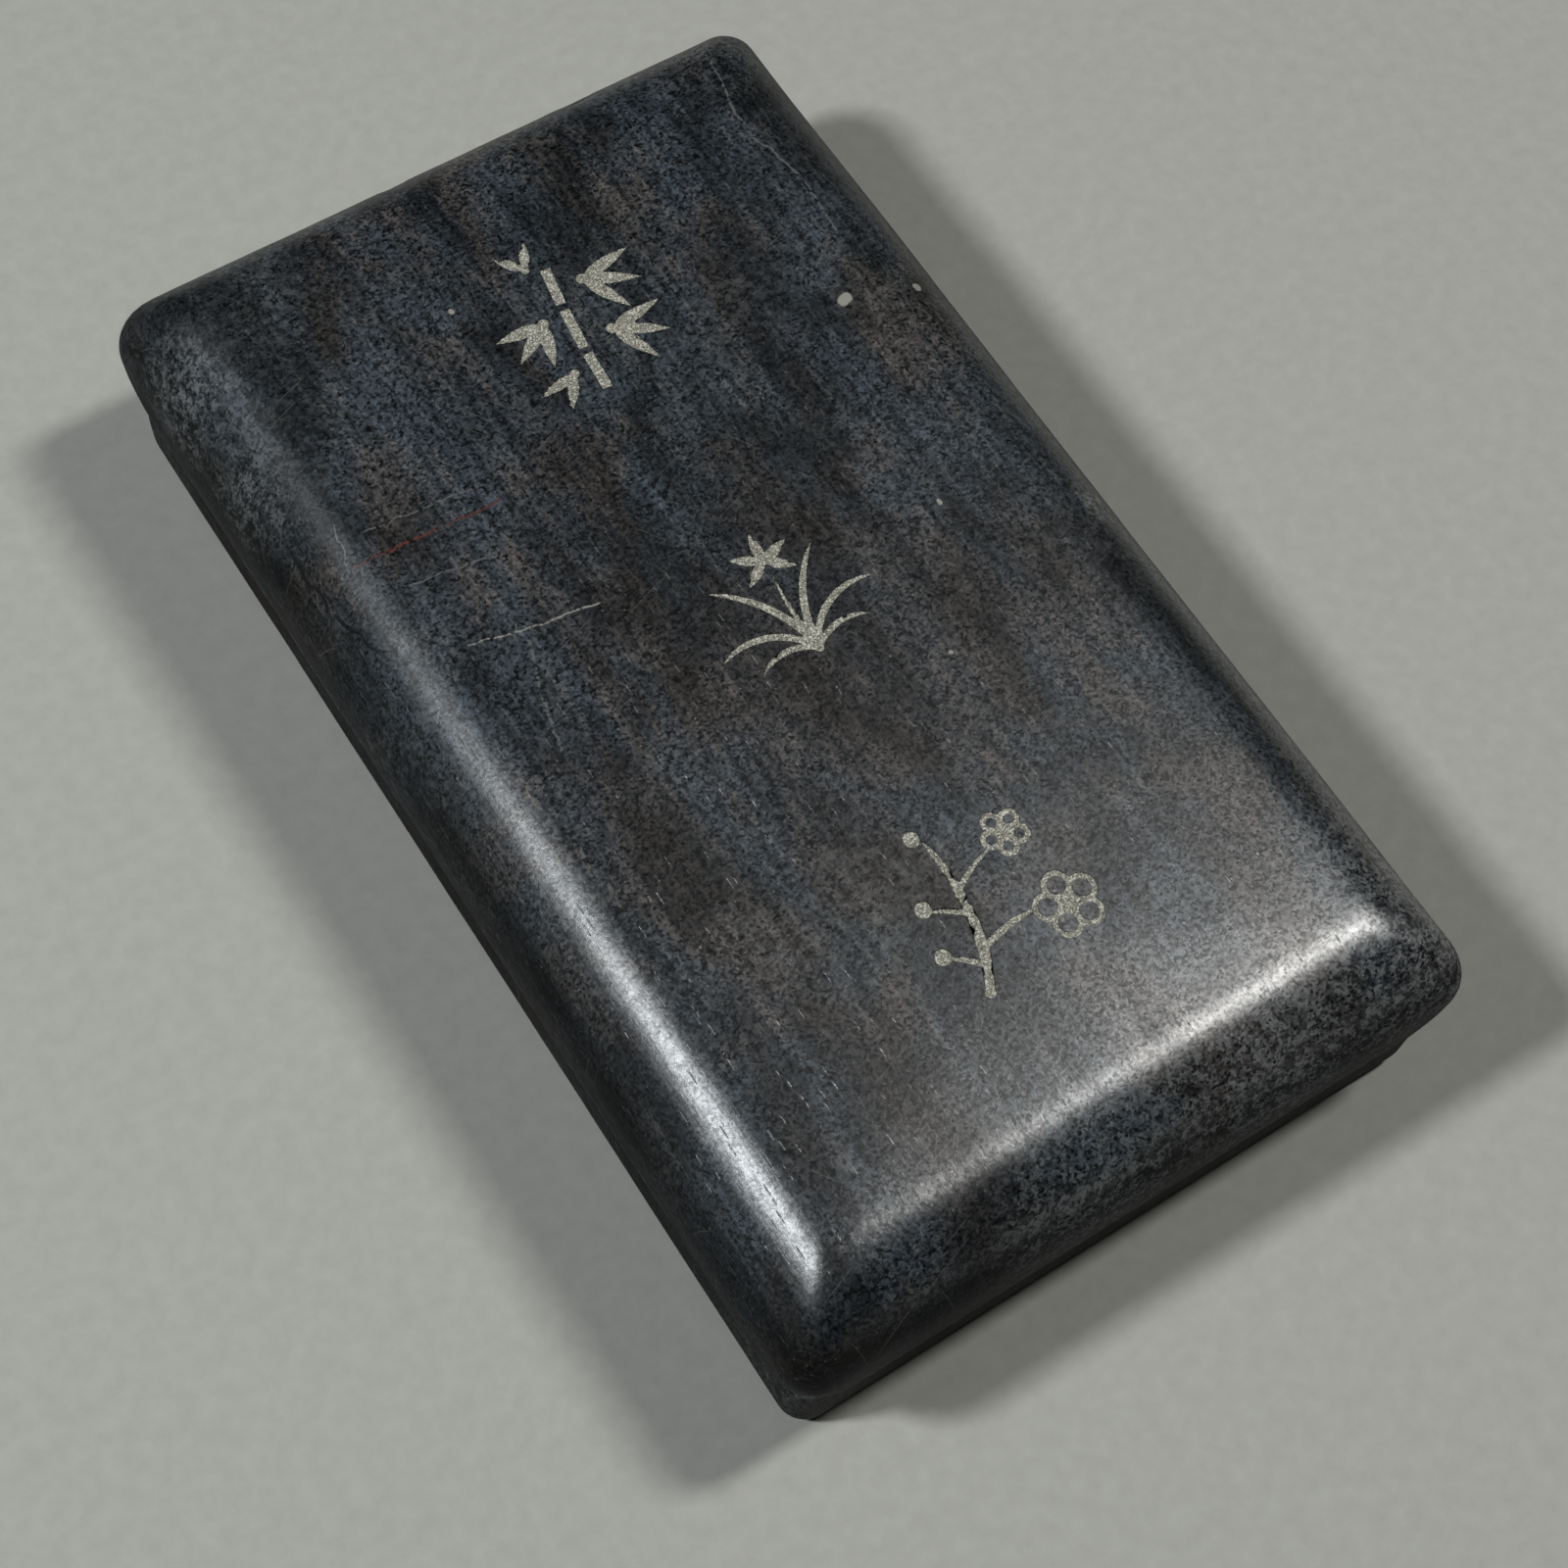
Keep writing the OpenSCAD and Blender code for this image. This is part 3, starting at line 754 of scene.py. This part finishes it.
def gilt_material():
    """Old gilding, rubbed through to the ink in places."""
    material, tree, principled = shader("gilt_look")
    here = coordinates(tree)
    rub = noise_of(tree, here, 0.9, 4.0, 0.75)
    fine = noise_of(tree, here, 4.0, 2.0, 0.7)
    worn = between(tree, rub, 0.53, 0.60, smooth=True)
    gold = blend(tree, between(tree, fine, 0.35, 0.65), (0.42, 0.27, 0.09), (0.70, 0.50, 0.20))
    tree.links.new(blend(tree, worn, gold, (0.02, 0.018, 0.015)), principled.inputs["Base Color"])
    tree.links.new(between(tree, worn, 0.0, 1.0, 0.9, 0.0), principled.inputs["Metallic"])
    tree.links.new(between(tree, fine, 0.3, 0.7, 0.32, 0.5), principled.inputs["Roughness"])
    tree.links.new(bump(tree, fine, 0.3, 0.06), principled.inputs["Normal"])
    return material


def use(obj, material):
    obj.data.materials.clear()
    obj.data.materials.append(material)


# ---------------------------------------------------------------- the stage

FLOOR_SIZE = 1.5        # metres
FLOOR_STEPS = 24
LIGHT_DISTANCE = 0.9    # metres


def camera():
    """A camera that looks down on the near left corner of the case, slightly turned."""
    azimuth, elevation, roll = (math.radians(a) for a in (-40.4, 63.83, 8.32))
    aim = Vector((-0.11, -5.79, -2.2)) * MM
    distance = 0.3143
    back = Vector((math.sin(azimuth) * math.cos(elevation), -math.cos(azimuth) * math.cos(elevation),
                   math.sin(elevation)))
    level_right = Vector((math.cos(azimuth), math.sin(azimuth), 0))
    level_up = back.cross(level_right)
    right = math.cos(roll) * level_right + math.sin(roll) * level_up
    up = back.cross(right)
    data = bpy.data.cameras.new("camera")
    data.lens = 69.75
    data.sensor_width = 36
    data.clip_start = 0.01
    made = bpy.data.objects.new("camera", data)
    bpy.context.scene.collection.objects.link(made)
    place = aim + distance * back
    axes = Matrix((right, up, back)).transposed().to_4x4()
    made.matrix_world = Matrix.Translation(place) @ axes
    bpy.context.scene.camera = made


def soft_light(name, direction, power, sizes, colour):
    """A broad round lamp that looks at the case from a direction."""
    data = bpy.data.lights.new(name, "AREA")
    data.energy = power
    data.shape = "ELLIPSE"
    data.size, data.size_y = sizes
    data.color = colour
    made = bpy.data.objects.new(name, data)
    towards = Vector(direction).normalized()
    made.location = towards * LIGHT_DISTANCE
    made.rotation_euler = towards.to_track_quat("Z", "Y").to_euler()
    bpy.context.scene.collection.objects.link(made)


def stage():
    """A plain pale floor, two soft lights and a dim even surround."""
    ticks = np.linspace(-FLOOR_SIZE / 2, FLOOR_SIZE / 2, FLOOR_STEPS + 1)
    verts = [(x, y, 0) for y in ticks for x in ticks]
    floor = piece_from("floor", verts, grid_faces(FLOOR_STEPS, FLOOR_STEPS), smooth=False)
    material, tree, principled = shader("floor_look", Specular_IOR_Level=0.2, Roughness=0.9)
    nap = noise_of(tree, coordinates(tree), 0.5, 3.0, 0.6)
    colour = blend(tree, between(tree, nap, 0.3, 0.7), (0.345, 0.347, 0.322), (0.375, 0.377, 0.352))
    tree.links.new(colour, principled.inputs["Base Color"])
    use(floor, material)
    soft_light("light_right", (0.46, -0.12, 0.87), 4.9, (0.10, 0.20), (1.0, 0.99, 0.96))
    soft_light("light_left", (-0.62, 0.18, 0.79), 6.5, (0.12, 0.12), (0.95, 0.985, 1.0))
    world = bpy.data.worlds.new("surround")
    world.use_nodes = True
    background = world.node_tree.nodes["Background"]
    background.inputs["Color"].default_value = (0.90, 0.95, 1.0, 1)
    background.inputs["Strength"].default_value = 0.02
    bpy.context.scene.world = world
    view = bpy.context.scene.view_settings
    view.view_transform = "Standard"
    view.gamma = 0.85   # the contrast of a phone's camera


# ---------------------------------------------------------------- the case

def finish(obj, material, body, node, angle=38):
    """Shades a piece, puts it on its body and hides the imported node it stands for."""
    crisp(obj, angle)
    use(obj, material)
    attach(obj, body)
    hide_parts(node)


def make_lid(wood, pigment):
    """The lid, with the motifs cut into it and the pigment laid in them."""
    uncut = loft("uncut_lid", lid_stations())
    hand_worked(uncut, LID_DENTS, above=RIM + 0.5)
    tree = tree_of(uncut)

    def height_at(x, y):
        return surface_height(tree, x, y)

    lid = bpy.data.objects.new("lid_body", uncut.data.copy())
    bpy.context.scene.collection.objects.link(lid)
    for node in MOTIFS:
        prism = prism_of(node, height_at, 1.0, CARVING)
        cut_away(lid, prism)
        discard(prism)
        fill = grainy_fill(node, height_at, -FILL_DROP, CARVING - 0.03, 0.05)
        finish(fill, pigment, "lid", node, 50)
    # Rubbed places, and a painted highlight line along the rim's edge.
    paint_wear_and_highlight(lid, LID_WEAR, RIM + 0.15)
    finish(lid, wood, "lid", "lid")
    keep_normals(lid, uncut, height_at)
    discard(uncut)


def make_base(wood):
    """The tray under the lid, with the lip that holds the lid in place."""
    base = loft("base_body", base_stations())
    hand_worked(base, broad=0.05, fine=0.02, seed=31.0, above=0.3)
    # Rubbed corners, and a painted highlight line along the base's upper edge.
    paint_wear_and_highlight(base, BASE_WEAR, RIM - 0.1)
    finish(base, wood, "base", "base", 60)


# ---------------------------------------------------------------- the inkstone and the ink stick

def rounded_distance(x, y, centre, half, radius):
    """Distance into a rounded rectangle, negative outside it."""
    dx = abs(x - centre[0]) - (half[0] - radius)
    dy = abs(y - centre[1]) - (half[1] - radius)
    outside = math.hypot(max(dx, 0), max(dy, 0))
    return radius - outside - min(max(dx, dy), 0)


def hollow(inside, depth, soft):
    """Depth of a hollow, that far inside its edge: a rounded brink and a steep wall."""
    t = min(max(inside / soft + 0.15, 0.0), 1.0)
    return depth * t * t * (3 - 2 * t)


def stone_hollows():
    """Where the stone's hollows are: middle and half sizes of the well, the field and the channel."""
    left = STONE_LOW[0] + STONE_BORDER
    channel = (STICK_LOW + STICK_HIGH) / 2
    half_channel = (STICK_HIGH - STICK_LOW)[:2] / 2 + CHANNEL_GAP
    right = channel[0] - half_channel[0] - STONE_RIB
    well_end = STONE_HIGH[1] - STONE_BORDER
    well_start = well_end - WELL_LENGTH
    start = STONE_LOW[1] + STONE_BORDER
    middle, half = (left + right) / 2, (right - left) / 2
    well = ((middle, (well_start + well_end) / 2), (half, WELL_LENGTH / 2))
    field = ((middle, (start + well_start) / 2 + 2), (half, (well_start - start) / 2 + 2))
    return well, field, (channel[:2], half_channel)


def stone_depth(x, y, hollows):
    """How far the stone's top lies under its rim."""
    well, field, channel = hollows
    channel_depth = STONE_HIGH[2] - STICK_LOW[2]
    fall = FIELD_DEPTH + (y - field[0][1] + field[1][1]) * math.tan(math.radians(FIELD_FALL))
    worn = 0.35 * math.exp(-((x - field[0][0]) / 11) ** 2 - ((y + 14) / 22) ** 2)
    parts = [
        hollow(rounded_distance(x, y, well[0], well[1], 4.0), WELL_DEPTH, 2.2),
        hollow(rounded_distance(x, y, field[0], field[1], 4.0), fall + worn, 0.9),
        hollow(rounded_distance(x, y, channel[0], channel[1], 1.5), channel_depth, 0.7),
    ]
    scoop_at = (channel[0][0] - channel[1][0] + 3, 0)
    scoop = SCOOP_RADIUS - math.hypot(x - scoop_at[0], y - scoop_at[1])
    parts.append(hollow(scoop, channel_depth, 0.9))
    return max(parts)


def stone_top(half_w, half_l):
    """Points of the stone's worked top, a grid row by row, and the dried ink at each."""
    hollows = stone_hollows()
    nx, ny = int(2 * half_w / STONE_STEP), int(2 * half_l / STONE_STEP)
    verts, ink = [], []
    for j in range(ny + 1):
        y = -half_l + 2 * half_l * j / ny
        past = max(0.0, abs(y) - (half_l - STONE_CORNER))
        reach = half_w - STONE_CORNER + math.sqrt(max(0.0, STONE_CORNER ** 2 - past ** 2))
        for i in range(nx + 1):
            x = reach * (2 * i / nx - 1)
            inside = max(0.0, rounded_distance(x, y, (0, 0), (half_w, half_l), STONE_CORNER))
            rounding = STONE_EDGE - math.sqrt(STONE_EDGE ** 2 - (STONE_EDGE - min(STONE_EDGE, inside)) ** 2)
            depth = stone_depth(x, y, hollows)
            rough = 0.03 * noise.noise(Vector((x, y, 0)) / 4) + 0.012 * noise.noise(Vector((x, y, 5)) / 0.9)
            verts.append((x, y, STONE_HIGH[2] - rounding - depth + min(rough, 0.02)))
            blot = noise.noise(Vector((x, y, 2)) / 9) + 0.5 * noise.noise(Vector((x, y, 8)) / 2.5)
            inked = min(1.0, max(0.0, (depth - 2.4 + 1.4 * blot) / 2.0))
            ink.append(inked if x < INKED_UP_TO else 0.0)
    return verts, ink, nx, ny


def make_inkstone(material):
    """The stone: a worked top with its hollows, and plain sides, as one closed body."""
    half_w, half_l = (STONE_HIGH - STONE_LOW)[:2] / 2
    verts, ink, nx, ny = stone_top(half_w, half_l)
    faces = grid_faces(nx, ny)
    row = nx + 1
    border = list(range(nx)) + [j * row + nx for j in range(ny)]
    border += [ny * row + i for i in range(nx, 0, -1)] + [j * row for j in range(ny, 0, -1)]
    upper = border
    for height, inset in ((12.0, 0), (8.0, 0), (STONE_LOW[2] + 0.5, 0), (STONE_LOW[2], 0.5)):
        lower = list(range(len(verts), len(verts) + len(border)))
        for k in border:
            x, y, _ = verts[k]
            verts.append((x * (1 - inset / half_w), y * (1 - inset / half_l), height))
            ink.append(0.0)
        for k in range(len(upper)):
            n = (k + 1) % len(upper)
            faces.append((upper[k], lower[k], lower[n], upper[n]))
        upper = lower
    faces.append(tuple(upper))
    stone = piece_from("inkstone_body", np.array(verts) * MM, faces)
    layer = stone.data.attributes.new("ink", "FLOAT", "POINT")
    layer.data.foreach_set("value", ink)
    tidy_mesh(stone)
    finish(stone, material, "inkstone", "inkstone", 42)


def make_ink_stick(material):
    """The stick: a pressed bar with soft edges, one end ground at a slant by use."""
    size = STICK_HIGH - STICK_LOW
    middle = (STICK_LOW + STICK_HIGH) / 2
    half = size[1] / 2
    stations = [(4.2, -half, 0.3)] + [(0.9 * k, -half + 0.03 * (4 - k), 0.6) for k in (4, 3, 2)]
    stations += [(0.9, -half + 0.15, 0.9), (0.35, -half + 0.45, 1.0)]
    stations += [(0.0, y, 1.1) for y in np.linspace(-half + 1.1, half - 1.1, 95)]
    stations += [(0.35, half - 0.45, 1.0), (0.9, half - 0.15, 0.9)]
    stations += [(0.9 * k, half - 0.03 * (4 - k), 0.6) for k in (2, 3, 4)] + [(4.2, half, 0.3)]
    stick = loft("ink_stick_body", stations, size[0], size[2])
    stick.data.transform(Matrix.Rotation(math.radians(90), 4, "X"))
    stick.data.transform(Matrix.Translation(middle * MM))
    for v in stick.data.vertices:
        x, y, z = (c / MM for c in v.co)
        ground = max(0.0, -y - GROUND_FROM - 0.35 * (STICK_HIGH[2] - z))
        uneven = 0.04 * noise.noise(Vector((x, y, z)) / 6) - 0.04
        v.co.y += ground * 0.9 * MM
        v.co.x += (uneven if x > middle[0] else -uneven) * MM
    tidy_mesh(stick)
    finish(stick, material, "ink_stick", "ink_stick", 50)


def make_gilding(material):
    """The gilded relief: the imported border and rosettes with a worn, uneven top."""
    def height_at(x, y):
        return STICK_HIGH[2]

    relief = grainy_fill("stick_gilding", height_at, GILT_RISE, 0.04, 0.03)
    finish(relief, material, "ink_stick", "stick_gilding", 45)


camera()
stage()
make_lid(wood_material("lid_wood_look", LID_POLISHED_FROM, 1.0, LID_MARKS, LID_CHIPS), pigment_material())
# The base's wood is darkened all over by painted shade.
make_base(wood_material("base_wood_look", NOT_POLISHED, BASE_PAINTED_SHADE))
make_inkstone(slate_material())
make_ink_stick(ink_material())
make_gilding(gilt_material())
